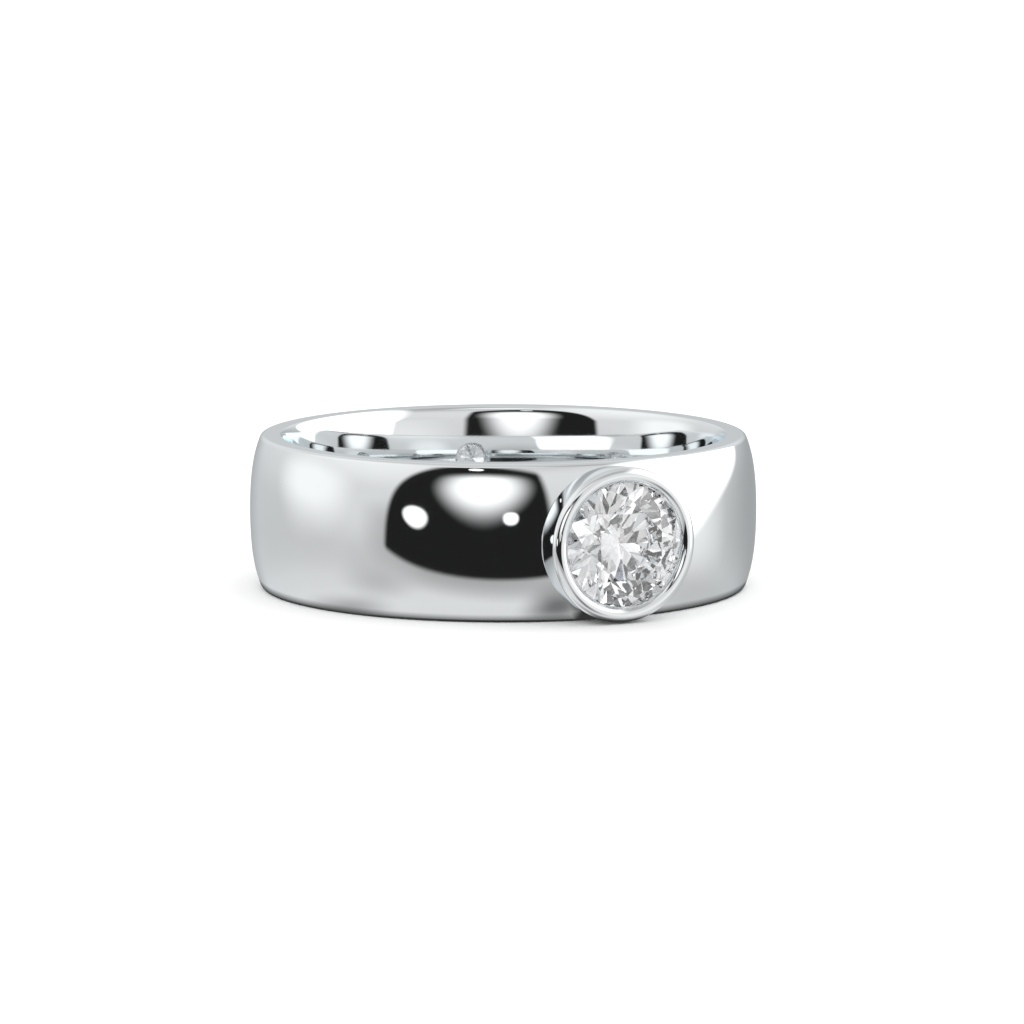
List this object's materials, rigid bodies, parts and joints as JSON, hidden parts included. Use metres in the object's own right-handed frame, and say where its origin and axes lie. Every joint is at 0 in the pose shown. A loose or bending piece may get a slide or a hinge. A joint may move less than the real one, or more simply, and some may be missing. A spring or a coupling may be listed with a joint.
{
  "type": "bezel set ring",
  "caption": "Wide domed finger ring in polished white metal, with a round brilliant stone held in a tube bezel that stands out of the band.",
  "frame": {"origin": "centre of the finger hole, halfway through the band's width", "axes": "+Z along the finger hole, so the ring lies on its side; the stone faces -Y; +X to the right as the stone is looked at"},
  "size_m": [0.0198, 0.0213, 0.006],
  "materials": {
    "white_gold": "mirror polished",
    "diamond": "cut and polished"
  },
  "bodies": {
    "root": {"band_with_bezel": "white_gold", "stone": "diamond"}
  },
  "joints": []
}
